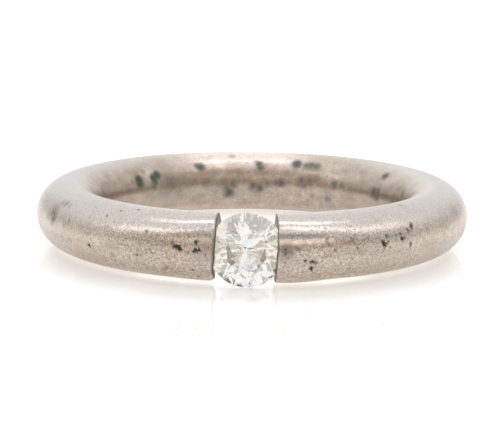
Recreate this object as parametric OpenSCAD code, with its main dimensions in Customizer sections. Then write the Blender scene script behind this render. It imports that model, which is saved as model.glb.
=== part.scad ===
// Finger ring bent from round silver wire, with a round brilliant-cut stone
// clamped between the wire's two cut ends.
// The ring lies on its side: +Z is the ring's own axis, and the stone is at -Y.
// The origin is on that axis, at the level on which the ring lies.

/* [Band] */
// Inside diameter of the band, which is the finger's size
inside_d = 17.5; // [15:0.25:22]
// Thickness of the round wire
wire_d = 3.6; // [3.3:0.05:4]
// Width of the cut between the wire's two ends, measured at the middle of the wire
gap_w = 3; // [2.7:0.05:3.3]
// Bevel on the rim of each cut end
end_bevel = 0.14; // [0.06:0.01:0.2]

/* [Stone] */
// Diameter of the stone at its girdle
stone_d = 3.95; // [3.8:0.05:4.2]
// Width of the table as a share of the girdle
table_share = 0.55; // [0.52:0.01:0.62]
// Slope of the crown's main facets
crown_slope = 35; // [32:0.5:36]
// Slope of the star facets round the table
star_slope = 21; // [19:0.5:23]
// Slope of the pavilion's main facets
pavilion_slope = 39.75; // [39:0.25:42]
// How far from the girdle to the culet the lower girdle facets reach
lower_share = 0.8; // [0.72:0.01:0.82]
// Thickness of the girdle where the main facets meet it
girdle_t = 0.12; // [0.1:0.01:0.2]
// Turn of the stone about its own axis
stone_turn = -18; // [-22:1:22]

/* [Setting] */
// How far the girdle stands outside the middle of the wire
stone_out = 0.84; // [0.7:0.02:0.96]
// Clearance between the stone and its two seats
seat_clear = 0.03; // [0.02:0.01:0.05]

/* [Hidden] */

$fn = 96;

// The wire's bend, and the half of the cut as an angle about the ring's axis
wire_r = wire_d / 2;
bend_r = inside_d / 2 + wire_r;
gap_half = asin(gap_w / 2 / bend_r);
mid_h = max(stone_d, wire_d) / 2;

// The stone is worked out in its own frame: its axis is Z, the crown is up,
// and the girdle is halved by the plane Z = 0
stone_r = stone_d / 2;
table_r = stone_r * table_share;
girdle_h = girdle_t / 2;
eighth = 360 / 8;
sixteenth = 360 / 16;
table_h = girdle_h + (stone_r - table_r) * tan(crown_slope);
culet_h = -girdle_h - stone_r * tan(pavilion_slope);

// A star facet holds one side of the table, and its point is where it meets the
// edge between two crown mains
table_side_r = table_r * cos(eighth / 2);
star_reach = table_side_r + (table_h - girdle_h) / tan(star_slope);
star_point_r = table_r * (tan(crown_slope) - cos(eighth / 2) * tan(star_slope))
    / (cos(eighth / 2) * tan(crown_slope) - tan(star_slope));

// A girdle facet ends at the girdle's two corners and at a point on the edge
// between two mains, at point_r from the axis
function girdle_facet_slope(main_slope, point_r) =
    atan((stone_r - point_r * cos(eighth / 2)) * tan(main_slope)
        / ((stone_r - point_r) * cos(sixteenth / 2)));
upper_slope = girdle_facet_slope(crown_slope, star_point_r);
lower_slope = girdle_facet_slope(pavilion_slope, stone_r * (1 - lower_share));
girdle_reach = stone_r * cos(sixteenth / 2);

// Facets, from the table down: the side of the girdle that they are on, how many,
// the first one's direction, slope, and distance from the axis at the girdle's edge
SIDE = 0;
COUNT = 1;
FIRST = 2;
SLOPE = 3;
REACH = 4;
FACETS = [
    [1, 8, eighth / 2, star_slope, star_reach],
    [1, 8, 0, crown_slope, stone_r],
    [1, 16, sixteenth / 2, upper_slope, girdle_reach],
    [-1, 16, sixteenth / 2, lower_slope, girdle_reach],
    [-1, 8, 0, pavilion_slope, stone_r],
];

// The seats follow the cones that just hold the girdle facets, moved out by the clearance
function cone_slope(facet_slope) = atan(cos(sixteenth / 2) * tan(facet_slope));
function seat_edge(slope) = girdle_h + seat_clear * (1 / cos(slope) - tan(slope));
seat_r = stone_r + seat_clear;
over_slope = cone_slope(upper_slope);
under_slope = cone_slope(lower_slope);

// Puts what is drawn in the stone's own frame at its place in the ring
module at_stone() {
    translate([0, -(bend_r + stone_out), mid_h])
        rotate([90, 0, 0])
            rotate([0, 0, stone_turn])
                children();
}

// Everything inside one facet's plane
module facet_keep(side, direction, slope, reach) {
    size = 4 * stone_d;
    mirror([0, 0, side < 0 ? 1 : 0])
        rotate([0, 0, direction])
            translate([reach, 0, girdle_h])
                rotate([0, slope, 0])
                    translate([-size / 2, -size / 2, -size])
                        cube(size);
}

module brilliant() {
    intersection() {
        translate([0, 0, culet_h])
            cylinder(r = stone_r, h = table_h - culet_h);
        intersection_for(facet = FACETS)
            intersection_for(i = [0:facet[COUNT] - 1])
                facet_keep(facet[SIDE], facet[FIRST] + i * 360 / facet[COUNT], facet[SLOPE], facet[REACH]);
    }
}

// The room that both seats are cut from: the stone's outline with its clearance
module seat_room() {
    under = seat_edge(under_slope);
    over = seat_edge(over_slope);
    rotate_extrude()
        polygon([
            [0, -under - seat_r * tan(under_slope)],
            [seat_r, -under],
            [seat_r, over],
            [0, over + seat_r * tan(over_slope)],
        ]);
}

// What the bevel takes off the rim of a cut end that lies on Z = 0, with the wire above it
module rim_waste() {
    spare = 0.2;
    depth = 2 * end_bevel;
    difference() {
        translate([0, 0, -spare])
            cylinder(r = wire_r + 2 * spare, h = depth + spare);
        translate([0, 0, -spare])
            cylinder(r1 = wire_r - end_bevel - spare, r2 = wire_r + end_bevel, h = depth + spare);
    }
}

module band() {
    color([0.72, 0.68, 0.64])
        difference() {
            translate([0, 0, mid_h])
                rotate_extrude(start = gap_half - 90, angle = 360 - 2 * gap_half)
                    translate([bend_r, 0])
                        circle(r = wire_r);
            for (side = [-1, 1])
                rotate([0, 0, side * gap_half - 90])
                    translate([bend_r, 0, mid_h])
                        rotate([-side * 90, 0, 0])
                            rim_waste();
            at_stone()
                seat_room();
        }
}

module stone() {
    color([0.88, 0.91, 0.93])
        at_stone()
            brilliant();
}

band();
stone();
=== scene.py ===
# Finishes the silver ring: the hand-worn wire band with its tarnish and pits, the brilliant-cut
# stone in its two seats, and a pale studio table to show them on.

import math
from types import SimpleNamespace

import bmesh
import bpy
from bpy.props import FloatProperty, FloatVectorProperty, IntProperty, PointerProperty
from mathutils import Matrix, Vector
from mathutils.bvhtree import BVHTree


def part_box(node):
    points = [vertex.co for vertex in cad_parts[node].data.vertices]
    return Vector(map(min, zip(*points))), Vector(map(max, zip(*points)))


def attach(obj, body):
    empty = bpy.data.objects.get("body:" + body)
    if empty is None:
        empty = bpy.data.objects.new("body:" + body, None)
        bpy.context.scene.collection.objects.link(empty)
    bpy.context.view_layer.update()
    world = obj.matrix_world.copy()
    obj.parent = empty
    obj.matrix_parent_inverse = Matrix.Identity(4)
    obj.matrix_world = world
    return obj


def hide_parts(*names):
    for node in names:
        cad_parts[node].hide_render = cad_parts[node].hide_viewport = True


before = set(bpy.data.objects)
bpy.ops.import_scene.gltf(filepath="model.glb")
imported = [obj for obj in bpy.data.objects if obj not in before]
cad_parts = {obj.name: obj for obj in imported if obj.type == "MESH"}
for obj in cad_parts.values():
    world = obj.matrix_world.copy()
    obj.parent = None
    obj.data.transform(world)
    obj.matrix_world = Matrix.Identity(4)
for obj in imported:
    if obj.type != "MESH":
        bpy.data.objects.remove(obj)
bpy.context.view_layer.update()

bl_info = {
    "name": "Silver Ring",
    "version": (1, 0, 0),
    "blender": (4, 5, 0),
    "location": "3D View > Sidebar > Ring",
    "description": "Makes a worn silver ring with a clamped stone, and the table it lies on",
    "category": "Object",
}

MM = 0.001
BAND_LOW, BAND_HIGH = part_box("band")
STONE_LOW, STONE_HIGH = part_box("stone")
WIRE_RADIUS = (BAND_HIGH.z - BAND_LOW.z) / 2
BEND_RADIUS = BAND_HIGH.x - WIRE_RADIUS
MIDDLE_HEIGHT = (BAND_HIGH.z + BAND_LOW.z) / 2
STONE_RADIUS = (STONE_HIGH.x - STONE_LOW.x) / 2

# The photograph's frame, in pixels
PHOTO_WIDTH, PHOTO_HEIGHT = 500, 448
PHOTO_MIDDLE_COLUMN = (PHOTO_WIDTH - 1) / 2
PHOTO_MIDDLE_ROW = (PHOTO_HEIGHT - 1) / 2
SENSOR_WIDTH = 36

# How far each cut end's rim stands from the gap's middle, in degrees about the ring's axis.
# Columns: angle round the wire (0 faces outwards, 90 up and -90 down), left rim, right rim
RIM_TABLE = (
    (-180, 9.3, 8.6),
    (-130, 10.6, 8.3),
    (-100, 10.4, 8.0),
    (-78, 9.8, 7.8),
    (-68, 8.85, 7.7),
    (-58, 8.25, 7.6),
    (-48, 8.3, 7.5),
    (-38, 8.35, 7.4),
    (-28, 8.12, 7.38),
    (-12, 7.8, 7.4),
    (5, 7.75, 7.65),
    (20, 7.65, 7.7),
    (35, 7.65, 7.8),
    (50, 7.8, 8.0),
    (66, 8.05, 8.1),
    (90, 8.2, 8.1),
    (105, 8.4, 8.5),
    (122, 8.65, 8.75),
    (150, 8.9, 8.9),
    (180, 9.3, 8.6),
)

# Soft swellings and hollows that the wire was left with. Columns: angle round the ring from
# the gap (positive to the right), angle round the wire, width in mm, height in mm
SWELL_TABLE = (
    (12, -85, 2.6, 0.11),
    (-12, -90, 2.4, 0.03),
    (10.5, 58, 1.4, 0.035),
    (-10.5, 57, 1.4, 0.045),
    (-22, 48, 1.5, -0.012),
    (-38, 30, 1.8, 0.012),
    (-55, 60, 2.2, -0.015),
    (20, 40, 1.4, 0.010),
    (34, 55, 1.6, -0.012),
    (52, 25, 2.0, 0.012),
    (75, 60, 2.4, -0.015),
)

# Marks on the metal, by where the photograph shows them. Columns: photo column, photo row,
# width in mm, depth in mm, darkness
MARK_TABLE = (
    # Left of the stone
    (173.5, 246.3, 0.14, 0.02, 0.85),
    (176, 246, 0.22, 0.05, 1),
    (178.6, 247, 0.19, 0.04, 1),
    (180.3, 248.4, 0.14, 0.02, 0.85),
    (171.6, 242, 0.18, 0, 0.5),
    (195.6, 241.6, 0.16, 0.03, 0.85),
    (195.9, 244, 0.12, 0.01, 0.7),
    (193, 251, 0.14, 0.03, 0.8),
    (195.6, 250, 0.18, 0.04, 0.9),
    (198.6, 249.5, 0.14, 0.02, 0.8),
    (198.2, 246.8, 0.09, 0, 0.6),
    (188, 251.8, 0.14, 0, 0.45),
    (185, 252, 0.14, 0, 0.35),
    (146.4, 231, 0.17, 0.01, 0.5),
    (164.5, 244, 0.09, 0, 0.6),
    (150, 249.3, 0.14, 0, 0.45),
    (166.4, 266.7, 0.14, 0.01, 0.5),
    (193, 269.5, 0.12, 0.01, 0.6),
    (205, 254.5, 0.11, 0, 0.5),
    (177, 234.5, 0.16, 0, 0.35),
    (198, 275.5, 0.14, 0.01, 0.45),
    # The three wide soft smudges below darken the metal left of the stone
    (204, 249.5, 0.75, 0, 0.27),
    (198, 253.5, 0.55, 0, 0.22),
    (190.5, 251, 0.45, 0, 0.14),
    # The band's left side
    (89, 245, 0.16, 0.02, 0.9),
    (134, 253.7, 0.11, 0.01, 0.5),
    (136.6, 254.3, 0.14, 0.01, 0.7),
    (140, 254.3, 0.11, 0, 0.4),
    (111.5, 255, 0.15, 0, 0.4),
    (114.2, 256, 0.12, 0, 0.4),
    (123.5, 265, 0.11, 0, 0.45),
    (138, 209.3, 0.14, 0.01, 0.8),
    (121, 210.1, 0.15, 0.01, 0.5),
    (106.5, 215.5, 0.13, 0, 0.55),
    (113.2, 220.8, 0.1, 0, 0.6),
    (95, 206, 0.09, 0, 0.45),
    (97.2, 207.6, 0.09, 0, 0.35),
    (84.5, 232.8, 0.11, 0, 0.45),
    (87, 233, 0.11, 0.01, 0.55),
    (89.6, 232.4, 0.11, 0, 0.45),
    (70.7, 240.8, 0.1, 0, 0.4),
    (53.5, 211, 0.6, 0, 0.42),
    (53, 216, 0.5, 0, 0.48),
    (49, 213, 0.5, 0, 0.28),
    (62, 202.4, 0.3, 0, 0.32),
    (66, 203, 0.3, 0, 0.36),
    (69.5, 205, 0.26, 0, 0.28),
    (63.5, 225, 0.26, 0, 0.25),
    (68.5, 220, 0.24, 0, 0.25),
    # Right of the stone
    (305, 260.6, 0.15, 0.02, 0.72),
    (310.2, 261.6, 0.14, 0.03, 0.75),
    (312.6, 261, 0.14, 0.02, 0.72),
    (314.8, 262.2, 0.16, 0, 0.55),
    (310.5, 267.3, 0.16, 0.03, 0.82),
    (310.8, 270, 0.1, 0, 0.6),
    (286, 251, 0.5, 0.01, 0.5),
    (283, 249, 0.3, 0, 0.42),
    (289.5, 251.5, 0.34, 0, 0.42),
    (281, 255.5, 0.24, 0, 0.32),
    (293, 247.8, 0.14, 0, 0.3),
    (296.2, 247.8, 0.16, 0, 0.45),
    (299, 249.5, 0.16, 0, 0.45),
    (326.5, 238, 0.15, 0.01, 0.6),
    (326, 241.5, 0.11, 0, 0.55),
    (329, 245, 0.13, 0.01, 0.5),
    (334.8, 249.2, 0.11, 0, 0.55),
    (298, 227.6, 0.08, 0.01, 0.6),
    (311.2, 229.5, 0.08, 0.01, 0.5),
    (325, 228.2, 0.12, 0.01, 0.4),
    (316, 219.5, 0.08, 0, 0.35),
    (335.2, 219.2, 0.08, 0, 0.35),
    # The band's right side
    (351.3, 237.5, 0.13, 0, 0.4),
    (357, 247.5, 0.12, 0.01, 0.45),
    (358.5, 252, 0.11, 0, 0.4),
    (354, 229, 0.08, 0, 0.5),
    (383, 242.3, 0.2, 0.03, 0.92),
    (385.2, 244.2, 0.17, 0.03, 0.85),
    (387.6, 241, 0.13, 0.01, 0.75),
    (381.8, 240, 0.11, 0, 0.6),
    (386.5, 235.5, 0.2, 0.01, 0.5),
    (390, 247, 0.12, 0.01, 0.65),
    (384, 247.8, 0.11, 0, 0.4),
    (400, 233.5, 0.18, 0.01, 0.55),
    (401.3, 238.4, 0.17, 0.02, 0.85),
    (404, 237, 0.13, 0.01, 0.6),
    (395.3, 235, 0.11, 0, 0.6),
    (395, 240, 0.12, 0, 0.4),
    (410.3, 222.6, 0.16, 0.01, 0.5),
    (410.6, 225.4, 0.19, 0.02, 0.8),
    (411.2, 227.8, 0.13, 0.01, 0.6),
    (407, 229.2, 0.14, 0.01, 0.7),
    (407.6, 231.2, 0.12, 0, 0.5),
    (410.3, 231, 0.11, 0, 0.5),
    (410, 243.8, 0.15, 0.01, 0.75),
    (409.8, 246.2, 0.11, 0, 0.5),
    (410, 241.3, 0.11, 0, 0.4),
    (420, 244, 0.11, 0, 0.4),
    (399, 250.6, 0.11, 0, 0.55),
    (399, 204.4, 0.12, 0.01, 0.55),
    (401.5, 204.8, 0.13, 0.01, 0.7),
    (404.2, 205.5, 0.11, 0, 0.5),
    (453.5, 210, 0.6, 0, 0.25),
    (462, 231, 0.4, 0, 0.3),
    (449, 224, 0.14, 0, 0.35),
    (452.3, 229, 0.12, 0, 0.35),
    # The wall inside the ring and the top of its back, from the left to the right
    (92, 183, 0.44, 0, 0.28),
    (92.5, 189, 0.44, 0, 0.3),
    (107, 178, 0.33, 0, 0.35),
    (112, 180, 1.3, 0, 0.2),
    (126, 171.5, 0.33, 0, 0.3),
    (142, 171, 0.28, 0, 0.4),
    (134, 182, 0.31, 0, 0.4),
    (138.6, 179, 0.37, 0.02, 0.91),
    (139.6, 182.6, 0.37, 0.02, 0.96),
    (139, 186, 0.33, 0, 0.61),
    (142.3, 179, 0.26, 0, 0.4),
    (153.4, 177.4, 0.34, 0.03, 1),
    (156.6, 174.6, 0.36, 0.03, 1),
    (154.6, 180.4, 0.35, 0.01, 0.86),
    (154, 185, 0.35, 0, 0.61),
    (161, 173.6, 0.29, 0, 0.51),
    (168, 178, 1.6, 0, 0.45),
    (181, 179, 1.4, 0, 0.4),
    (163, 190.5, 0.33, 0, 0.3),
    (178, 182, 0.46, 0, 0.4),
    (186, 179, 0.37, 0, 0.35),
    (197, 165.5, 0.33, 0.01, 0.75),
    (200.4, 166.6, 0.38, 0.02, 0.85),
    (206, 171.5, 0.46, 0, 0.4),
    (212.5, 171, 0.4, 0, 0.4),
    (217.5, 170, 0.35, 0, 0.35),
    (205, 181.5, 0.48, 0, 0.45),
    (201, 196, 0.51, 0, 0.35),
    (193, 199, 0.35, 0, 0.3),
    (223, 184, 0.44, 0.01, 0.51),
    (226.5, 188, 0.4, 0.01, 0.61),
    (228.6, 192, 0.42, 0.02, 0.75),
    (232.8, 184.5, 0.37, 0, 0.61),
    (211, 155.5, 0.33, 0, 0.3),
    (231, 155.5, 0.33, 0, 0.51),
    (175, 157, 0.33, 0, 0.3),
    (256, 161.2, 0.29, 0, 0.45),
    (258.8, 163.6, 0.33, 0.01, 0.81),
    (260.3, 167, 0.31, 0.01, 0.75),
    (264.5, 165.4, 0.29, 0, 0.4),
    (253, 185, 0.35, 0.01, 0.66),
    (259, 187.2, 0.35, 0.01, 0.66),
    (267, 183.5, 0.4, 0, 0.45),
    (276, 182.5, 0.31, 0, 0.51),
    (280.6, 182.5, 0.34, 0.02, 0.7),
    (296.6, 163.4, 0.4, 0.03, 0.95),
    (296, 167, 0.33, 0, 0.51),
    (306, 165, 0.4, 0, 0.68),
    (311, 165.2, 0.42, 0.01, 0.74),
    (316, 166, 0.4, 0, 0.68),
    (300.5, 180, 0.42, 0.02, 0.55),
    (303, 186.5, 0.33, 0, 0.51),
    (309, 180, 0.42, 0, 0.45),
    (315, 179.4, 0.42, 0.01, 0.48),
    (297, 195, 0.33, 0, 0.35),
    (311, 196, 0.31, 0, 0.4),
    (327, 198.5, 0.36, 0.01, 0.5),
    (333.6, 184, 0.34, 0.02, 0.6),
    (341, 185, 0.31, 0, 0.51),
    (156, 182, 1.1, 0, 0.16),
    (178, 178, 1, 0, 0.16),
    (303.5, 166.5, 0.3, 0, 0.4),
    (313.5, 167, 0.3, 0, 0.4),
    (320, 166.5, 0.3, 0, 0.35),
    (345.5, 171, 0.33, 0, 0.4),
    (361, 171, 0.29, 0, 0.3),
    (384.8, 175.6, 0.38, 0.01, 0.72),
    (373, 192, 0.42, 0.02, 0.72),
    (376, 195, 0.4, 0.02, 0.66),
    (377.5, 190.6, 0.31, 0, 0.61),
    (380, 184, 0.33, 0, 0.3),
    (397, 170, 0.33, 0, 0.26),
    (402, 194, 0.4, 0, 0.45),
    (413.5, 192, 0.33, 0, 0.38),
)


def number(value, name, description, **more):
    """A property that holds one number, without a unit if nothing more is said."""
    return FloatProperty(name=name, description=description, default=value, **more)


def mm(value, *labels):
    """A length property that is given in millimetres and kept in metres."""
    return number(value * MM, *labels, unit="LENGTH", precision=6)


def degrees(value, *labels):
    """An angle property that is given in degrees and kept in radians."""
    return number(math.radians(value), *labels, subtype="ANGLE")


def share(value, *labels):
    """A property that runs from 0 to 1."""
    return number(value, *labels, min=0, max=1, subtype="FACTOR")


def colour(value, name, description):
    """A colour property."""
    return FloatVectorProperty(
        name=name, description=description, default=value, subtype="COLOR", size=3)


class RingBandSettings(bpy.types.PropertyGroup):
    """Sizes of the wire band that the frame doesn't hold."""

    cut_angle: degrees(8.2, "Cut angle", "Half of the gap, as an angle about the ring's axis")
    left_rim: mm(0.18, "Left rim", "Rounding of the left cut end's rim at mid height")
    right_rim: mm(0.10, "Right rim", "Rounding of the right cut end's rim at mid height")
    rim_fade: mm(1.2, "Rim fade", "How far from the cut the rim's waver dies out")
    girdle_out: mm(0.84, "Girdle out", "How far the stone's girdle stands outside the wire's middle")
    girdle_half: mm(0.06, "Girdle half", "Half of the girdle's thickness")
    seat_clear: mm(0.035, "Seat clearance", "Room between the stone and its seats")
    crown_cone: degrees(40.0, "Crown cone", "Slope of the cone that holds the crown's facets")
    pavilion_cone: degrees(40.3, "Pavilion cone", "Slope of the cone that holds the pavilion's facets")
    unevenness: mm(0.018, "Unevenness", "Height of the slow waves in the wire")
    ripple: mm(0.0022, "Ripple", "Height of the short ripples left by wear")
    stations: IntProperty(name="Stations", description="Rings of points along the band", default=721)
    sides: IntProperty(name="Sides", description="Points round the wire", default=120)
    seed: IntProperty(name="Seed", description="Seed of the waves and ripples", default=4)


class RingSilverSettings(bpy.types.PropertyGroup):
    """Colours and finish of the old silver, with its painted highlights and shade."""

    clean: colour((0.67, 0.62, 0.575), "Clean", "Silver where it is rubbed clean")
    dull: colour((0.52, 0.44, 0.365), "Dull", "Silver under its warm film")
    warm: colour((0.62, 0.46, 0.33), "Warm", "The film where it has yellowed")
    cool: colour((0.48, 0.455, 0.485), "Cool", "The film where it has turned grey and violet")
    # Painted shade: a dark brown laid in a belt on the wall inside the ring
    painted_inside_shade: colour((0.30, 0.24, 0.16), "Dusk", "The thick film on the wall inside the ring")
    flush: colour((0.66, 0.50, 0.43), "Flush", "The film where it has turned pink, inside the ring")
    bare: colour((0.62, 0.585, 0.56), "Bare", "Silver worn bright near the cut")
    # Painted light: a lighter, cooler colour on top of the two sides, where the bright surroundings shine
    pale: colour((0.57, 0.56, 0.555), "Pale", "Cooler silver on top of the two sides")
    # Painted highlight: a pinkish white laid on top of the back, where the lamp above shines
    painted_back_highlight: colour((0.94, 0.83, 0.79), "Gloss", "Silver rubbed bright on top of the back")
    stain: colour((0.075, 0.073, 0.064), "Stain", "Tarnish in the pits and marks")
    stain_inside: colour((0.072, 0.098, 0.092), "Stain inside", "Greener tarnish inside the ring")
    slate: colour((0.40, 0.42, 0.46), "Slate", "Bluish strip on the right, next to the cut")
    seat: colour((0.98, 0.85, 0.62), "Seat", "Silver burnished bright in the seats")
    # A dark colour laid on the outer part of each end face
    grime: colour((0.13, 0.115, 0.09), "Grime", "Dirt round the end faces")
    polish_reach: mm(7, "Polish reach", "How far from the cut the upper side is worn smooth")
    roughness: share(0.30, "Roughness", "Roughness of the satin metal")
    grain: mm(0.09, "Grain", "Size of the satin grain")
    grain_height: mm(0.004, "Grain height", "Height of the satin grain")


class RingStoneSettings(bpy.types.PropertyGroup):
    """Look of the clear stone."""

    tint: colour((0.70, 0.73, 0.745), "Tint", "Colour of the stone's body")
    ior: number(1.76, "IOR", "How strongly the stone bends light")
    # Painted glow: a little light that the stone gives off of its own
    haze_and_painted_glow: number(0.026, "Haze", "Light scattered at the stone's worn facets")
    wear: mm(0.010, "Wear", "How uneven the worn facets are")


class RingStudioSettings(bpy.types.PropertyGroup):
    """Camera, light and table."""

    azimuth: degrees(1.35, "Azimuth", "How far the camera stands to the right of the gap")
    elevation: degrees(10.43, "Elevation", "Camera's height above the ring's own plane, as an angle")
    roll: degrees(0.68, "Roll", "Turn of the camera about its own line of sight")
    distance: mm(114.55, "Distance", "From the camera to the ring's middle")
    focal_pixels: number(1985.0, "Focal length", "In pixels of the photograph")
    middle_column: number(251.72, "Middle column", "Photo column of the ring's middle")
    middle_row: number(210.25, "Middle row", "Photo row of the ring's middle")
    table_glow: number(0.56, "Table glow", "Light that comes through the table")
    room: number(1.05, "Room light", "Brightness of the white surroundings")
    front: colour((0.585, 0.52, 0.455), "Front", "Colour of the darker room behind the camera")


class Term:
    """A node's output that can be used in Python expressions. Each operator adds a Math node."""

    def __init__(self, tree, socket):
        self.tree = tree
        self.socket = socket

    def math(self, operation, *others):
        return self.tree.add("ShaderNodeMath", {"operation": operation}, self, *others)

    def __add__(self, other):
        return self.math("ADD", other)

    def __sub__(self, other):
        return self.math("SUBTRACT", other)

    def __mul__(self, other):
        return self.math("MULTIPLY", other)

    def __truediv__(self, other):
        return self.math("DIVIDE", other)

    def __pow__(self, other):
        return self.math("POWER", other)

    def __neg__(self):
        return self.math("MULTIPLY", -1)

    def __lt__(self, other):
        return self.math("LESS_THAN", other)

    def __gt__(self, other):
        return self.math("GREATER_THAN", other)

    def __rsub__(self, other):
        return self.tree.value(other).math("SUBTRACT", self)

    def __rtruediv__(self, other):
        return self.tree.value(other).math("DIVIDE", self)

    __radd__ = __add__
    __rmul__ = __mul__

    def most(self, other):
        return self.math("MAXIMUM", other)

    def unsigned(self):
        return self.math("ABSOLUTE")

    def clamped(self):
        return self.tree.add("ShaderNodeClamp", {}, self)

    def smooth(self):
        """Eases a value that runs from 0 to 1."""
        held = self.clamped()
        return held * held * (3 - 2 * held)

    def eases(self, start, end):
        """Goes smoothly from 0 at start to 1 at end, whichever of the two is the higher."""
        return ((self - start) / (end - start)).smooth()

    def near(self, middle, full, gone):
        """1 up to the distance full from the middle, and smoothly down to 0 at gone."""
        return (self - middle).unsigned().eases(gone, full)


class Tree:
    """Adds nodes to one node tree, and lays them out in rows."""

    row_length = 24
    spacing = (180, -260)

    def __init__(self, tree):
        self.tree = tree
        self.count = 0
        self.last = None

    def value(self, given):
        """A number as a term, so that it can stand first in an expression."""
        return self.add("ShaderNodeMath", {"operation": "ADD"}, given, 0)

    def new_node(self, kind):
        """Adds a bare node in the next place of its row."""
        node = self.tree.nodes.new(kind)
        self.count += 1
        row, column = divmod(self.count, self.row_length)
        node.location = (column * self.spacing[0], row * self.spacing[1])
        return node

    def link(self, term, place):
        """Links a term to a node's input."""
        self.tree.links.new(term.socket, place)

    def add(self, kind, settings=None, *values, output=0, **named):
        """Adds a node, gives it its settings, then the values or links of its inputs, in order
        or by name, and returns one of its outputs as a term."""
        node = self.new_node(kind)
        for name, setting in (settings or {}).items():
            if name == "points":
                self.set_points(node.mapping, setting)
            else:
                setattr(node, name, setting)
        pairs = list(zip([s for s in node.inputs if s.enabled], values))
        pairs += [(node.inputs[name], value) for name, value in named.items()]
        for place, given in pairs:
            if isinstance(given, Term):
                self.link(given, place)
            elif given is not None:
                place.default_value = given
        self.last = node
        if not node.outputs:
            return None
        if isinstance(output, str):
            return Term(self, node.outputs[output])
        return Term(self, [s for s in node.outputs if s.enabled][output])

    @staticmethod
    def set_points(mapping, points):
        """Gives a curve its points."""
        line = mapping.curves[0]
        line.points[0].location = points[0]
        line.points[1].location = points[-1]
        for point in points[1:-1]:
            line.points.new(*point)
        mapping.update()

    def vector(self, operation, *values):
        return self.add("ShaderNodeVectorMath", {"operation": operation}, *values)

    def split(self, place):
        """The three numbers of a vector."""
        self.add("ShaderNodeSeparateXYZ", {}, place)
        return [Term(self, s) for s in self.last.outputs]

    def store(self, shape, kind="FLOAT", **values):
        """Keeps numbers on a shape's points under their names."""
        for name, value in values.items():
            shape = self.add(
                "GeometryNodeStoreNamedAttribute", {"data_type": kind},
                Geometry=shape, Name=name, Value=value)
        return shape

    def named(self, name, kind="FLOAT"):
        """A number that a shape's points were given before."""
        return self.add("GeometryNodeInputNamedAttribute", {"data_type": kind}, name)

    def attribute(self, name):
        """A number that the piece's own mesh holds."""
        self.add("ShaderNodeAttribute", {"attribute_name": name})
        return Term(self, self.last.outputs["Fac"])

    def noise(self, place, size, detail=2.0, rough=0.5, seed=0.0):
        """Smooth noise from 0 to 1, whose features are about size across."""
        return self.add(
            "ShaderNodeTexNoise", {"noise_dimensions": "4D"},
            Vector=place, W=seed, Scale=1 / size, Detail=detail, Roughness=rough)

    def coloured_noise(self, place, size, detail, spread, middle):
        """Noise in three channels, each spread / 2 to either side of its middle."""
        raw = self.add(
            "ShaderNodeTexNoise", {}, Vector=place, Scale=1 / size, Detail=detail, output="Color")
        lowest = tuple(channel - spread / 2 for channel in middle)
        return self.vector("MULTIPLY_ADD", raw, (spread,) * 3, lowest)

    def grey(self, value):
        """A colour with the same value in its three channels."""
        return self.add("ShaderNodeCombineColor", {}, value, value, value)

    def blend(self, factor, first, second, mode="MIX"):
        """Mixes two colours: at factor 0 the first, at factor 1 the second."""
        node = self.new_node("ShaderNodeMix")
        node.data_type = "RGBA"
        node.blend_type = mode
        node.clamp_factor = True
        for name, given in (("Factor_Float", factor), ("A_Color", first), ("B_Color", second)):
            place = next(s for s in node.inputs if s.identifier == name)
            if isinstance(given, Term):
                self.link(given, place)
            else:
                place.default_value = given if name == "Factor_Float" else (*given[:3], 1)
        return Term(self, next(s for s in node.outputs if s.identifier == "Result_Color"))


def settings_of(context):
    """The settings of the band, the silver, the stone and the studio."""
    scene = context.scene
    return scene.ring_band, scene.ring_silver, scene.ring_stone, scene.ring_studio


def camera_pose(studio):
    """Where the photograph's camera stands, and its right, up and forward directions."""
    middle = Vector((0, 0, MIDDLE_HEIGHT))
    back = Vector((
        math.sin(studio.azimuth) * math.cos(studio.elevation),
        -math.cos(studio.azimuth) * math.cos(studio.elevation),
        math.sin(studio.elevation),
    ))
    level_right = (-back).cross(Vector((0, 0, 1))).normalized()
    level_up = level_right.cross(-back)
    right = math.cos(studio.roll) * level_right + math.sin(studio.roll) * level_up
    up = right.cross(-back)
    across = (studio.middle_column - PHOTO_MIDDLE_COLUMN) / studio.focal_pixels
    down = (studio.middle_row - PHOTO_MIDDLE_ROW) / studio.focal_pixels
    forward = (up * down - right * across - back).normalized()
    right = (right - forward * right.dot(forward)).normalized()
    return middle + back * studio.distance, right, right.cross(forward), forward


def read_marks(studio):
    """Each mark's centre on the CAD band, found along the photograph's own line of sight, with
    its width, depth and darkness."""
    place, right, up, forward = camera_pose(studio)
    metal = BVHTree.FromObject(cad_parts["band"], bpy.context.evaluated_depsgraph_get())
    marks = []
    for column, row, width, depth, darkness in MARK_TABLE:
        across = (column - PHOTO_MIDDLE_COLUMN) / studio.focal_pixels
        down = (row - PHOTO_MIDDLE_ROW) / studio.focal_pixels
        sight = (forward + right * across - up * down).normalized()
        hit = metal.ray_cast(place, sight)[0]
        if hit is None:
            raise RuntimeError(f"no metal shows at column {column}, row {row}")
        marks.append((hit, width * MM, depth * MM, darkness))
    return marks


def on_the_wire(ring_degrees, wire_degrees):
    """The point of the wire's surface at one angle round the ring and one round the wire."""
    ring, wire = math.radians(ring_degrees), math.radians(wire_degrees)
    reach = BEND_RADIUS + WIRE_RADIUS * math.cos(wire)
    return Vector((
        reach * math.sin(ring),
        -reach * math.cos(ring),
        MIDDLE_HEIGHT + WIRE_RADIUS * math.sin(wire),
    ))


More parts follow.
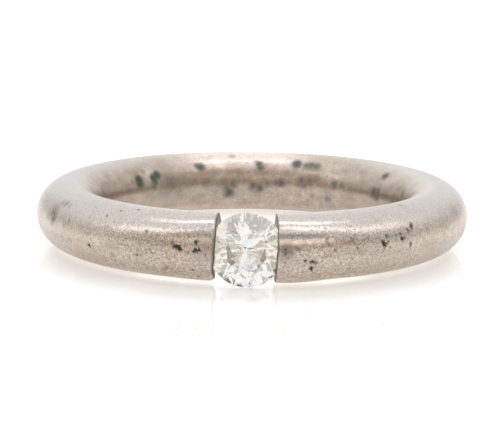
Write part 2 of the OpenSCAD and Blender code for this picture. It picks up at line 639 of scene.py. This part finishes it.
def band_tree(band):
    """Geometry nodes that bend the wire, cut and round its ends, sink the seats and wear it."""
    group = bpy.data.node_groups.new("band_wire", "GeometryNodeTree")
    inputs = (
        ("Chart", "NodeSocketObject", None),
        ("Finish", "NodeSocketMaterial", None),
        ("Stations", "NodeSocketInt", band.stations),
        ("Sides", "NodeSocketInt", band.sides),
        ("Bend Radius", "NodeSocketFloat", BEND_RADIUS),
        ("Wire Radius", "NodeSocketFloat", WIRE_RADIUS),
        ("Middle Height", "NodeSocketFloat", MIDDLE_HEIGHT),
        ("Cut Angle", "NodeSocketFloat", band.cut_angle),
        ("Left Rim", "NodeSocketFloat", band.left_rim),
        ("Right Rim", "NodeSocketFloat", band.right_rim),
        ("Rim Fade", "NodeSocketFloat", band.rim_fade),
        ("Girdle Reach", "NodeSocketFloat", BEND_RADIUS + band.girdle_out),
        ("Girdle Half", "NodeSocketFloat", band.girdle_half),
        ("Seat Radius", "NodeSocketFloat", STONE_RADIUS + band.seat_clear),
        ("Unevenness", "NodeSocketFloat", band.unevenness),
        ("Ripple", "NodeSocketFloat", band.ripple),
        ("Seed", "NodeSocketFloat", band.seed),
    )
    for name, kind, default in inputs:
        socket = group.interface.new_socket(name, in_out="INPUT", socket_type=kind)
        if default is not None:
            socket.default_value = default
    group.interface.new_socket("Band", in_out="OUTPUT", socket_type="NodeSocketGeometry")
    tree = Tree(group)
    tree.add("NodeGroupInput")
    given = {s.name: Term(tree, s) for s in tree.last.outputs if s.name}
    sheet = tree.add("GeometryNodeMeshGrid", {}, 1, 1, given["Stations"], given["Sides"] + 1)
    bent = bend_wire(tree, given, band, sheet)
    marked = chart_marks(tree, given, bent)
    worn = wear_wire(tree, given, marked)
    same_point = 0.0002 * MM
    closed = tree.add("GeometryNodeMergeByDistance", {}, Geometry=worn, Distance=same_point)
    smooth = tree.add("GeometryNodeSetShadeSmooth", {}, Geometry=closed)
    real = tree.add("GeometryNodeRealizeInstances", {}, Geometry=smooth)
    done = tree.add("GeometryNodeSetMaterial", {}, Geometry=real, Material=given["Finish"])
    tree.add("NodeGroupOutput", {}, done)
    return group


def bend_wire(tree, given, band, sheet):
    """Bends a flat sheet of points, one row for each station, into the cut wire with its seats."""
    bend = given["Bend Radius"]
    along_sheet, round_sheet, _ = tree.split(tree.add("GeometryNodeInputPosition"))
    right_side = along_sheet > 0
    row = (0.5 - along_sheet.math("ABSOLUTE")) * (given["Stations"] - 1)
    angle = (round_sheet + 0.25) * math.tau

    # From the middle of the cut end: across the face, round the rim, then along the wire,
    # where the rows lie closer together near the cut. The rim is sharper at its top and bottom
    face_rows, rim_rows = 12, 7
    crowding = 0.4
    sharper = 0.45
    last_row = (given["Stations"] - 1) / 2
    rim_at_middle = given["Left Rim"] + (given["Right Rim"] - given["Left Rim"]) * right_side
    rim = rim_at_middle * (1 - sharper * angle.math("SINE") ** 2)
    face = (row / face_rows).clamped()
    turn = ((row - face_rows) / rim_rows).clamped() * (math.pi / 2)
    run = ((row - face_rows - rim_rows) / (last_row - face_rows - rim_rows)).clamped()
    radius = face * (given["Wire Radius"] - rim) + rim * turn.math("SINE")
    wire_left = bend * (math.pi - given["Cut Angle"]) - rim
    along = rim * (1 - turn.math("COSINE")) + wire_left * run * (1 - crowding + crowding * run)

    # The rim wavers as it does on the real cut
    nearest, farthest = 7.0, 11.0
    turned = (angle / math.tau + 1.5).math("FRACT")

    def rim_line(column):
        """One column of the rim's table as a curve round the wire, both ways from 0 to 1."""
        points = []
        for entry in RIM_TABLE:
            share_of_turn = (entry[0] + 180) / 360
            points.append((share_of_turn, (entry[column] - nearest) / (farthest - nearest)))
        return tree.add("ShaderNodeFloatCurve", {"points": points}, None, turned)

    line = rim_line(1) * (1 - right_side) + rim_line(2) * right_side
    rim_angle = (line * (farthest - nearest) + nearest) * math.radians(1)
    cut = given["Cut Angle"] + (rim_angle - given["Cut Angle"]) * face

    # The seat is sunk where the stone's outline reaches past the face
    reach = bend + radius * angle.math("COSINE")
    height = radius * angle.math("SINE")

    def past_the_face(edge):
        """The angle of the stone's outline, or that of the edge where the stone stops short."""
        forward = reach * edge.math("COSINE") - given["Girdle Reach"]
        ahead = (forward - given["Girdle Half"]).most(0) / math.tan(band.crown_cone)
        behind = (-forward - given["Girdle Half"]).most(0) / math.tan(band.pavilion_cone)
        width = (given["Seat Radius"] - ahead - behind).most(0)
        half_chord = (width * width - height * height).most(0).math("SQRT")
        return (half_chord / reach).math("ARCSINE").most(edge)

    fade = (1 - along / given["Rim Fade"]).clamped()
    edge = past_the_face(past_the_face(cut))
    start_angle = given["Cut Angle"] + (edge - given["Cut Angle"]) * fade * fade
    heading = (right_side * 2 - 1) * (start_angle + along / bend)
    point = tree.add(
        "ShaderNodeCombineXYZ", {},
        reach * heading.math("SINE"),
        -reach * heading.math("COSINE"),
        given["Middle Height"] + height)

    # The outer part of the face is darkened, further in at its top. The rest of the face is the
    # burnished seat
    dark_start, dark_fade, dark_at_top = 0.80, 0.16, 0.25
    on_face = 1 - turn.math("SINE") ** 4
    outward = radius / given["Wire Radius"] + dark_at_top * angle.math("SINE").most(0)
    darkened_part = outward.eases(dark_start, dark_start + dark_fade)
    kept = tree.store(
        sheet,
        from_cut=along,
        skin=face * turn.math("SINE"),
        grime=on_face * darkened_part,
        seat=on_face * (1 - darkened_part))
    return tree.add("GeometryNodeSetPosition", {}, Geometry=kept, Position=point)


def chart_marks(tree, given, band):
    """Goes through the chart's points and keeps how stained and how deep each makes the band."""
    chart = tree.add("GeometryNodeObjectInfo", {}, given["Chart"], output="Geometry")
    place = tree.add("GeometryNodeInputPosition")

    # The outline of a mark is torn
    tear_size, tear_reach = 0.13 * MM, 0.12 * MM
    jitter = tree.add(
        "ShaderNodeTexNoise", {}, Vector=place, Scale=1 / tear_size, Detail=3.0, output="Color")
    shifted = tree.vector("MULTIPLY_ADD", jitter, (2 * tear_reach,) * 3, place)
    torn = tree.vector("SUBTRACT", shifted, (tear_reach,) * 3)

    start = tree.new_node("GeometryNodeRepeatInput")
    finish = tree.new_node("GeometryNodeRepeatOutput")
    start.pair_with_output(finish)
    size = tree.add("GeometryNodeAttributeDomainSize", {}, chart, output="Point Count")
    tree.link(size, start.inputs["Iterations"])
    prepared = tree.store(band, "FLOAT_VECTOR", torn=torn)
    tree.link(tree.store(prepared, stain=0.0, sunk=0.0), start.inputs["Geometry"])
    count = Term(tree, start.outputs["Iteration"])

    def charted(kind, field):
        """What the chart holds for the mark that the loop has come to."""
        return tree.add("GeometryNodeSampleIndex", {"data_type": kind}, chart, field, count)

    centre = charted("FLOAT_VECTOR", place)
    width = charted("FLOAT", tree.named("width"))
    depth = charted("FLOAT", tree.named("depth"))
    darkness = charted("FLOAT", tree.named("darkness"))
    torn_apart = tree.vector("DISTANCE", tree.named("torn", "FLOAT_VECTOR"), centre)
    apart = tree.vector("DISTANCE", place, centre)

    # A wide mark is a soft smudge: less torn, and fading out over a longer way
    smudge_width, smudge_fade = 0.22 * MM, 0.1 * MM
    softness = ((width - smudge_width) / smudge_fade).clamped()
    blurred = torn_apart + (apart - torn_apart) * softness * 0.6
    outline = width * (1.05 + 0.75 * softness)
    stained = ((1 - blurred / outline) * (1.5 - 0.55 * softness)).smooth() * darkness
    sunk = apart.eases(width, 0) * depth
    passed = tree.store(
        Term(tree, start.outputs["Geometry"]),
        stain=tree.named("stain").most(stained),
        sunk=tree.named("sunk") + sunk)
    tree.link(passed, finish.inputs["Geometry"])
    return Term(tree, finish.outputs["Geometry"])


def wear_wire(tree, given, band):
    """Moves the wire's surface in and out: slow waves, short ripples and the charted marks."""
    wave_length, ripple_length = 3.5 * MM, 0.7 * MM
    place = tree.add("GeometryNodeInputPosition")
    x, y, _ = tree.split(place)
    level = tree.vector("NORMALIZE", tree.add("ShaderNodeCombineXYZ", {}, x, y, 0))
    bend = tree.vector("SCALE", level, given["Bend Radius"])
    lift = tree.add("ShaderNodeCombineXYZ", {}, 0, 0, given["Middle Height"])
    middle = tree.vector("ADD", bend, lift)
    outward = tree.vector("NORMALIZE", tree.vector("SUBTRACT", place, middle))
    waves = tree.noise(place, wave_length, 1.0, 0.5, given["Seed"]) - 0.5
    ripples = tree.noise(place, ripple_length, 2.0, 0.5, given["Seed"] + 7) - 0.5
    uneven = 2 * (waves * given["Unevenness"] + ripples * given["Ripple"])
    rise = (uneven - tree.named("sunk")) * tree.named("skin")
    offset = tree.vector("SCALE", outward, rise)
    moved = tree.add("GeometryNodeSetPosition", {}, Geometry=band, Offset=offset)
    for name in ("torn", "sunk", "skin"):
        moved = tree.add("GeometryNodeRemoveAttribute", {}, Geometry=moved, Name=name)
    return moved


def chart_object(studio):
    """The charted marks and swellings as bare points, each with its width, depth and darkness."""
    rows = read_marks(studio)
    for ring_degrees, wire_degrees, width, rise in SWELL_TABLE:
        rows.append((on_the_wire(ring_degrees, wire_degrees), width * MM, -rise * MM, 0.0))
    chart = new_piece("mark_chart")
    chart.data.from_pydata([row[0] for row in rows], [], [])
    for column, name in enumerate(("width", "depth", "darkness"), start=1):
        values = chart.data.attributes.new(name, "FLOAT", "POINT")
        values.data.foreach_set("value", [row[column] for row in rows])
    return chart


def plain_mesh(holder, group, inputs, name):
    """Runs a node tree on an empty object and keeps the result as a plain mesh object."""
    modifier = holder.modifiers.new("nodes", "NODES")
    modifier.node_group = group
    for item in group.interface.items_tree:
        if item.in_out == "INPUT" and item.name in inputs:
            modifier[item.identifier] = inputs[item.name]
    depsgraph = bpy.context.evaluated_depsgraph_get()
    mesh = bpy.data.meshes.new_from_object(holder.evaluated_get(depsgraph))
    mesh.name = name
    holder.modifiers.remove(modifier)
    holder.data = mesh
    if not mesh.polygons:
        raise RuntimeError(f"{name} came out empty")
    return holder


def new_piece(name):
    """An empty mesh object in the scene."""
    piece = bpy.data.objects.new(name, bpy.data.meshes.new(name))
    bpy.context.scene.collection.objects.link(piece)
    return piece


def surface_tree(name):
    """A new material, its tree, its Principled shader wired to the output, and the place on the
    piece as a term."""
    material = bpy.data.materials.new(name)
    material.use_nodes = True
    material.node_tree.nodes.clear()
    tree = Tree(material.node_tree)
    surface = tree.add("ShaderNodeBsdfPrincipled")
    shader = tree.last
    tree.add("ShaderNodeOutputMaterial", {}, surface)
    place = tree.add("ShaderNodeTexCoord", output="Object")
    return material, tree, shader, place


def join(term, shader, name):
    """Links a term to one of the shader's inputs."""
    term.tree.link(term, shader.inputs[name])


def band_zones(tree, place, silver):
    """How far a point of the band belongs to each part of it that has worn in its own way."""
    x, y, z = tree.split(place)
    height = z - MIDDLE_HEIGHT
    reach = (x * x + y * y).math("SQRT") - BEND_RADIUS
    side = x.unsigned()
    from_cut = tree.attribute("from_cut")
    upper = height.eases(0.281 * WIRE_RADIUS, 0.906 * WIRE_RADIUS)
    rear = y.eases(-0.375 * BEND_RADIUS, 0.458 * BEND_RADIUS)
    inside = reach.eases(-0.219 * WIRE_RADIUS, -0.844 * WIRE_RADIUS)
    near_cut = from_cut.eases(silver.polish_reach, 0.412 * silver.polish_reach)
    return SimpleNamespace(
        x=x, y=y, height=height, reach=reach, side=side,
        # The upper half, the far half, and the wall that faces the finger
        upper=upper, rear=rear, inside=inside, outside=1 - inside,
        # How much of the satin grain is left: less on the upper side and at the back
        calm=1 - 0.62 * upper.most(rear * 0.95),
        # Worn smooth, on the upper side next to the cut
        polish=near_cut * height.eases(0, 0.5 * WIRE_RADIUS),
        # The band's left and right sides, and the wall's far corners
        aside=side.eases(0.45 * BEND_RADIUS, 0.85 * BEND_RADIUS),
        corner=side.eases(4.5 * MM, 7.5 * MM),
        low_side=height.eases(-0.02 * WIRE_RADIUS, -0.22 * WIRE_RADIUS),
        # Right of the cut, a bluish strip
        slate=height.near(0.84 * MM, 0.08 * MM, 0.16 * MM)
        * from_cut.eases(3.04 * MM, 1.14 * MM) * (x > 0),
    )


def band_noises(tree, place, zones, silver):
    """The noises of the silver, each about 0.5 in the mean."""

    def rubbed(length, width):
        """Rubbing marks that run along the wire."""
        shrink = width / length
        drawn = tree.add("ShaderNodeCombineXYZ", {}, zones.x * shrink, zones.y * shrink, zones.reach)
        return tree.add(
            "ShaderNodeTexNoise", {"noise_dimensions": "4D"},
            Vector=drawn, W=zones.height * (1 / width), Scale=1 / width, Detail=2.0, Roughness=0.5)

    return SimpleNamespace(
        patches=tree.noise(place, 2.6 * MM, 3.0, 0.6, 1.0),
        blotches=tree.noise(place, 0.6 * MM, 3.0, 0.6, 2.0),
        grain=tree.noise(place, silver.grain, 3.0, 0.65, 3.0),
        fine=tree.noise(place, silver.grain / 3, 2.0, 0.6, 4.0),
        yellowed=tree.noise(place, 0.32 * MM, 2.0, 0.5, 5.0),
        greyed=tree.noise(place, 0.9 * MM, 2.0, 0.5, 6.0),
        clouds=tree.noise(place, 1.1 * MM, 3.0, 0.6, 8.0),
        flecks=tree.noise(place, 0.19 * MM, 1.0, 0.5, 11.0),
        streaks=rubbed(1.2 * MM, 0.14 * MM),
        scratches=rubbed(1.6 * MM, 0.06 * MM),
    )


def tarnish_spots(tree, place, zones, noises):
    """Where tarnish covers the metal: in the charted marks, and in small dots all over."""
    stain = tree.attribute("stain")
    torn = (noises.grain - 0.5) * 2.2 + (noises.fine - 0.5) * 1.0
    torn = torn * (stain * 4).clamped() * zones.calm
    charted = (stain * 1.35 - 0.07 - 0.06 * zones.rear + torn).smooth()

    # Most of the dots are faint
    dot_spacing = 0.42 * MM
    from_dot = tree.add(
        "ShaderNodeTexVoronoi", {"voronoi_dimensions": "3D"}, Vector=place, Scale=1 / dot_spacing)
    luck, strength, _ = tree.split(Term(tree, tree.last.outputs["Color"]))
    dotted = (1.3 - from_dot / (0.05 + 0.12 * luck)).smooth() * strength * strength * (luck > 0.45)
    return charted.most(dotted * 0.5 * zones.calm) * (1 - 0.12 * zones.rear)


def film_colour(tree, zones, noises, silver):
    """The metal's colour under its film, with its painted highlights and shade, without its grain."""
    rubbed = noises.patches * 1.7 - 0.4 + (noises.blotches - 0.5) * 0.35
    film = tree.blend(rubbed.clamped(), silver.dull, silver.clean)
    yellow = (noises.yellowed * 3.4 - 1.6).clamped() * 0.45 * zones.calm
    film = tree.blend(yellow, film, silver.warm)
    grey = (noises.greyed * 3 - 1.6).clamped() * 0.38
    film = tree.blend(grey, film, silver.cool)

    # Next to the cut and on the upper side it has worn off
    film = tree.blend(zones.polish * 0.75, film, silver.bare)
    film = tree.blend(zones.slate * 0.8, film, silver.slate)
    # Painted light on top of the two sides, outside the ring
    film = tree.blend(zones.aside * zones.upper * zones.outside * 0.75, film, silver.pale)
    # A painted highlight on top of the back, broken into patches
    back_highlight_mask = zones.rear * zones.rear * zones.upper * zones.x.near(-0.8 * MM, 1.8 * MM, 5.4 * MM)
    film = tree.blend(back_highlight_mask * (0.45 + noises.clouds * 0.9).clamped(), film, silver.painted_back_highlight)

    # Inside the ring a painted shade darkens a belt, which rises and widens towards the sides, is
    # lighter on the right and broken into clouds, and there are pinkish patches
    belt_height = (0.5 + 0.4 * zones.corner) * MM
    belt_reach = (1.5 + 0.6 * zones.corner) * MM
    belt = 1 - ((zones.height - belt_height).unsigned() / belt_reach).clamped()
    thinning = 1 - 0.45 * zones.x.eases(-1 * MM, 3 * MM)
    # The belt of painted shade
    thick = (noises.clouds * 3.2 - 1.15).clamped() * zones.inside * belt * thinning * 0.85
    film = tree.blend(thick, film, silver.painted_inside_shade)
    film = tree.blend(((noises.patches - 0.47) * 5).clamped() * zones.inside * 0.5, film, silver.flush)
    low_patches = ((0.5 - noises.clouds) * 5).clamped() * zones.inside * zones.low_side * 0.6
    return tree.blend(low_patches, film, silver.flush)


def metal_brightness(zones, noises):
    """How bright the metal is against its film's colour: grain, and painted light and painted shade."""
    height, side = zones.height, zones.side
    lively = (0.77 + (noises.blotches * 2.4 - 0.7).clamped() * 0.55) * (1 - 0.35 * zones.aside)
    lively = lively * zones.calm * (1 - 0.9 * zones.inside * zones.corner)
    grainy = (noises.grain - 0.5) * 2.4 + (noises.flecks - 0.5) * 0.5 + (noises.streaks - 0.5) * 0.5

    # Outside: painted light on the underside and on the ridge of the right side, painted shade on the
    # lower side and in a line at mid height, and right of the cut a line of painted light near the cut
    # that turns to painted shade further on
    under = height.eases(-0.121 * WIRE_RADIUS, -0.424 * WIRE_RADIUS) * zones.outside
    painted_crest_light = zones.reach.eases(0.1 * WIRE_RADIUS, -0.233 * WIRE_RADIUS) * zones.upper * zones.aside
    painted_crest_light = painted_crest_light * (zones.x / (2 * MM) - zones.y / (3 * MM)).smooth()
    painted_shade_line = height.near(-0.08 * MM, 0.088 * MM, 0.308 * MM) * zones.outside
    painted_shade_line = painted_shade_line * side.eases(2.4 * MM, 3.6 * MM) * side.eases(8.0 * MM, 6.5 * MM)
    right_painted_line = height.near(0.66 * MM, 0.1 * MM, 0.3 * MM) * zones.outside * (zones.x > 0)
    painted_light_near_cut = side.eases(5.0 * MM, 3.8 * MM) * 0.32
    painted_shade_further = side.eases(4.6 * MM, 5.6 * MM) * side.eases(9.2 * MM, 7.6 * MM) * 0.16
    outer = 1 - zones.low_side * 0.10 + under * 0.14 + painted_crest_light * 0.14
    outer = outer - painted_shade_line * 0.14 + right_painted_line * (painted_light_near_cut - painted_shade_further)

    # Inside: painted shade, lifted by painted light towards the bottom of the wall, and blotched
    painted_foot_light = height.eases(-0.067 * WIRE_RADIUS, -0.733 * WIRE_RADIUS) * 0.1
    painted_foot_light = painted_foot_light + height.eases(-0.625 * WIRE_RADIUS, -0.875 * WIRE_RADIUS) * 0.35
    blotched = (noises.blotches - 0.5) * 0.7 * (1 - 0.6 * zones.corner)
    return (outer + grainy * lively).most(0.3) * (1 + (painted_foot_light - 0.12 + blotched) * zones.inside)


def silver_material(silver):
    """Old silver: a warm film over satin metal, brighter and smoother near the cut, with painted
    highlights and shade, stained pits, and end faces darkened round the seats."""
    material, tree, shader, place = surface_tree("aged_silver")
    zones = band_zones(tree, place, silver)
    noises = band_noises(tree, place, zones, silver)
    spots = tarnish_spots(tree, place, zones, noises)
    grime = tree.attribute("grime")
    seat = tree.attribute("seat")

    film = film_colour(tree, zones, noises, silver)
    metal = tree.blend(1.0, film, tree.grey(metal_brightness(zones, noises)), "MULTIPLY")
    specks = tree.coloured_noise(place, 0.11 * MM, 1.0, 0.30, (1, 1, 1))
    tones = tree.coloured_noise(place, 0.55 * MM, 2.0, 0.10, (1.015, 0.995, 0.975))
    metal = tree.vector("MULTIPLY", tree.vector("MULTIPLY", metal, specks), tones)
    metal = tree.blend(seat, metal, silver.seat)
    metal = tree.blend(grime * 0.88, metal, silver.grime)
    tarnish = tree.blend(zones.rear, silver.stain, silver.stain_inside)
    join(tree.blend(spots, metal, tarnish), shader, "Base Color")

    # The wall's far corners are quieter still
    calm, polish = zones.calm, zones.polish
    quiet = zones.inside * zones.corner
    rough = silver.roughness * (1 - 0.72 * polish)
    rough = rough + (noises.grain - 0.5) * 0.3 * calm * (1 - 0.8 * polish)
    rough = rough + (noises.streaks - 0.5) * 0.12 * (1 - 0.8 * quiet)
    rough = rough + (noises.scratches - 0.5) * 0.2 * polish + (spots + grime + seat) * 0.3
    join(rough.clamped(), shader, "Roughness")
    shader.inputs["Metallic"].default_value = 1.0

    relief = (noises.grain * 0.8 + noises.fine * 0.3) * calm * (1 - 0.85 * polish)
    relief = (relief + noises.streaks * 0.5 + noises.scratches * 0.3) * (1 - 0.92 * quiet)
    bump = tree.add("ShaderNodeBump", {}, Strength=1.0, Distance=silver.grain_height, Height=relief)
    join(bump, shader, "Normal")
    return material


def stone_material(stone):
    """Clear stone: bends light strongly, its worn facets are smudged and faintly uneven, and it
    gives off a faint painted glow.
    """
    material, tree, shader, place = surface_tree("clear_stone")
    wear_size = 0.5 * MM
    smudge = tree.noise(place, wear_size, 2.0, 0.5, 9.0)
    smudged_tint = (0.85, 0.87, 0.885)
    join(tree.blend(smudge, stone.tint, smudged_tint), shader, "Base Color")
    join((smudge - 0.6).most(0) * 0.1, shader, "Roughness")
    uneven = tree.noise(place, wear_size, 2.0, 0.5, 10.0)
    bump = tree.add("ShaderNodeBump", {}, Strength=1.0, Distance=stone.wear, Height=uneven)
    join(bump, shader, "Normal")
    shader.inputs["Transmission Weight"].default_value = 1.0
    shader.inputs["IOR"].default_value = stone.ior
    # A faint painted glow: the stone gives off warm light of its own
    shader.inputs["Emission Color"].default_value = (1, 0.92, 0.78, 1)
    shader.inputs["Emission Strength"].default_value = stone.haze_and_painted_glow
    return material


def girdle_material():
    """The ground, unpolished girdle."""
    material, tree, shader, place = surface_tree("ground_girdle")
    grain = tree.noise(place, 0.05 * MM, 2.0, 0.5, 5.0)
    join(0.35 + grain * 0.2, shader, "Roughness")
    shader.inputs["Base Color"].default_value = (0.93, 0.93, 0.91, 1)
    shader.inputs["Transmission Weight"].default_value = 0.35
    shader.inputs["IOR"].default_value = 1.8
    return material


def table_material(studio):
    """White acrylic that is lit from below, with a painted shadow close round the ring."""
    material, tree, shader, place = surface_tree("white_acrylic")
    haze_and_painted_glow = tree.noise(place, 12 * MM, 2.0, 0.5, 3.0)
    join(0.05 + haze_and_painted_glow * 0.02, shader, "Roughness")
    shader.inputs["Base Color"].default_value = (0.50, 0.55, 0.60, 1)
    shader.inputs["IOR"].default_value = 1.5
    x, y, _ = tree.split(place)
    reach = (x * x + y * y).math("SQRT") / MM
    side = x.unsigned() / MM

    # The painted shadow starts a little further out in front, and is deeper before the stone
    front = side.eases(7.36, 2.76) * (y < 0)
    shade_start = 10.8 + 0.3 * front
    shade_end = 12.6 + 0.8 * front
    before_stone = side.eases(1.7, 0.9) * (y < 0)
    painted_shadow_ring = ((reach - shade_start) / 0.8).smooth() * (1 - ((reach - shade_end) / 2.4).smooth())
    shade = painted_shadow_ring * (0.22 + 0.22 * before_stone)
    # The painted shadow takes light out of the table's glow
    join(tree.blend(shade, (1, 0.94, 0.88), (0, 0, 0)), shader, "Emission Color")
    shader.inputs["Emission Strength"].default_value = studio.table_glow
    return material


class RING_OT_band(bpy.types.Operator):
    """Bends, cuts and wears the silver wire band"""

    bl_idname = "ring.make_band"
    bl_label = "Make band"

    def execute(self, context):
        band, silver, _, studio = settings_of(context)
        chart = chart_object(studio)
        inputs = {"Finish": silver_material(silver), "Chart": chart}
        piece = plain_mesh(new_piece("silver_band"), band_tree(band), inputs, "silver_band")
        bpy.data.objects.remove(chart)
        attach(piece, "root")
        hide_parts("band")
        return {"FINISHED"}


class RING_OT_stone(bpy.types.Operator):
    """Takes the stone's facets from its CAD solid and grinds its girdle"""

    bl_idname = "ring.make_stone"
    bl_label = "Make stone"

    def execute(self, context):
        stone = settings_of(context)[2]
        same_point = 0.0005 * MM
        same_facet = math.radians(0.5)
        girdle_tilt = 0.05
        piece = new_piece("brilliant_stone")
        shape = bmesh.new()
        shape.from_mesh(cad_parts["stone"].data)
        bmesh.ops.remove_doubles(shape, verts=shape.verts, dist=same_point)
        bmesh.ops.dissolve_limit(
            shape, angle_limit=same_facet, verts=shape.verts, edges=shape.edges)
        girdle = {f for f in shape.faces if abs(f.normal.y) < girdle_tilt}
        for face in shape.faces:
            face.material_index = int(face in girdle)
            face.smooth = face in girdle
        shape.to_mesh(piece.data)
        shape.free()
        piece.data.materials.append(stone_material(stone))
        piece.data.materials.append(girdle_material())
        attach(piece, "root")
        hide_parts("stone")
        return {"FINISHED"}


class RING_OT_studio(bpy.types.Operator):
    """Lays the pale table, lights it softly and sets the camera at the photograph's angle"""

    bl_idname = "ring.make_studio"
    bl_label = "Make studio"

    def execute(self, context):
        studio = settings_of(context)[3]
        scene = context.scene
        scene.view_settings.view_transform = "Standard"
        self.lay_table(studio)
        self.light_room(studio)
        self.hang_lamps()
        self.set_camera(studio)
        return {"FINISHED"}

    def lay_table(self, studio):
        """The table touches the stone's lowest point and the back of the band."""
        half_size = 1.2
        clearance = 0.01 * MM
        lean = (BAND_LOW.z - STONE_LOW.z) / (BEND_RADIUS - STONE_LOW.y)
        touch = (STONE_LOW.y + STONE_HIGH.y) / 2
        corners = []
        for right, back in ((-1, -1), (1, -1), (1, 1), (-1, 1)):
            x, y = right * half_size, back * half_size
            corners.append((x, y, (y - touch) * lean - clearance))
        table = new_piece("table")
        table.data.from_pydata(corners, [], [(0, 1, 2, 3)])
        table.data.materials.append(table_material(studio))

    def light_room(self, studio):
        """White surroundings with a darker, warmer room and its window behind the camera."""
        world = bpy.data.worlds.new("room")
        bpy.context.scene.world = world
        world.use_nodes = True
        world.node_tree.nodes.clear()
        tree = Tree(world.node_tree)
        x, y, z = tree.split(tree.add("ShaderNodeTexCoord", output="Generated"))
        side = x.unsigned()
        front = (-y).eases(0.15, 0.65) * z.eases(0.88, 0.73)
        window = z.near(0.43, 0, 0.18) * side.eases(0.75, 0.5)
        front_light = 1 - 0.04 * z.eases(0.2, 0) + window * 1.05
        beside = side.eases(0.3, 0.6) * z.near(0, 0.15, 0.5)
        light = (studio.room + y.eases(-0.1, 0.5) * 0.02) * (1 - 0.32 * beside)
        dark = tree.add("ShaderNodeCombineColor", {}, *(front_light * channel for channel in studio.front))
        surround = tree.blend(front, tree.grey(light), dark)

        # The camera itself sees plain white behind the table
        white, white_light = (1, 1, 1, 1), 1.05
        room = tree.add("ShaderNodeBackground", {}, surround, 1.0)
        plain = tree.add("ShaderNodeBackground", {}, white, white_light)
        seen = tree.add("ShaderNodeLightPath", output="Is Camera Ray")
        tree.add("ShaderNodeOutputWorld", {}, tree.add("ShaderNodeMixShader", {}, seen, room, plain))

    def hang_lamps(self):
        """Softboxes above the table. Columns: name, place, width and depth, both as shares of
        the height, turn in degrees, brightness, colour"""
        height = 0.35
        lamps = (
            ("lamp_top", (-0.03, 0.13), (0.80, 0.095), 0, 2.6, (1, 0.99, 0.98)),
            ("lamp_front", (0.36, -0.27), (0.46, 0.08), 0, 2.5, (1, 0.99, 0.98)),
            ("lamp_left", (-1.15, -0.41), (1.05, 0.11), -11, 2.3, (1, 0.94, 0.85)),
            ("lamp_right", (1.0, -0.20), (0.60, 0.10), 0, 1.8, (1, 0.94, 0.86)),
            ("lamp_far_right", (1.25, 0.20), (0.50, 0.22), 0, 1.3, (1, 0.93, 0.84)),
        )
        for name, place, extent, turn, brightness, tone in lamps:
            light = bpy.data.lights.new(name, "AREA")
            light.shape = "RECTANGLE"
            light.size, light.size_y = extent[0] * height, extent[1] * height
            light.energy = brightness * math.pi * light.size * light.size_y
            light.color = tone
            lamp = bpy.data.objects.new(name, light)
            lamp.location = (place[0] * height, place[1] * height, height)
            lamp.rotation_euler.z = math.radians(turn)
            bpy.context.scene.collection.objects.link(lamp)

    def set_camera(self, studio):
        """Stands the camera where the photograph was taken from."""
        place, right, up, forward = camera_pose(studio)
        data = bpy.data.cameras.new("camera")
        data.sensor_width = SENSOR_WIDTH
        data.lens = SENSOR_WIDTH * studio.focal_pixels / PHOTO_WIDTH
        data.clip_start, data.clip_end = 0.01, 10
        camera = bpy.data.objects.new("camera", data)
        bpy.context.scene.collection.objects.link(camera)
        camera.rotation_mode = "QUATERNION"
        camera.location = place
        turn = [[right[i], up[i], -forward[i]] for i in range(3)]
        camera.rotation_quaternion = Matrix(turn).to_quaternion()
        bpy.context.scene.camera = camera


class RING_PT_panel(bpy.types.Panel):
    """Lists the ring's pieces and their settings"""

    bl_label = "Silver Ring"
    bl_idname = "RING_PT_panel"
    bl_space_type = "VIEW_3D"
    bl_region_type = "UI"
    bl_category = "Ring"

    def draw(self, context):
        layout = self.layout
        for operator in OPERATORS:
            layout.operator(operator.bl_idname)
        for settings in settings_of(context):
            box = layout.box()
            for name in settings.__annotations__:
                box.prop(settings, name)


OPERATORS = (RING_OT_band, RING_OT_stone, RING_OT_studio)
SETTINGS = {
    "ring_band": RingBandSettings,
    "ring_silver": RingSilverSettings,
    "ring_stone": RingStoneSettings,
    "ring_studio": RingStudioSettings,
}
CLASSES = (*SETTINGS.values(), *OPERATORS, RING_PT_panel)


def register():
    for one in CLASSES:
        bpy.utils.register_class(one)
    for name, group in SETTINGS.items():
        setattr(bpy.types.Scene, name, PointerProperty(type=group))


def unregister():
    for name in SETTINGS:
        delattr(bpy.types.Scene, name)
    for one in reversed(CLASSES):
        bpy.utils.unregister_class(one)


def main():
    register()
    bpy.ops.ring.make_band()
    bpy.ops.ring.make_stone()
    bpy.ops.ring.make_studio()


if __name__ == "__main__":
    main()
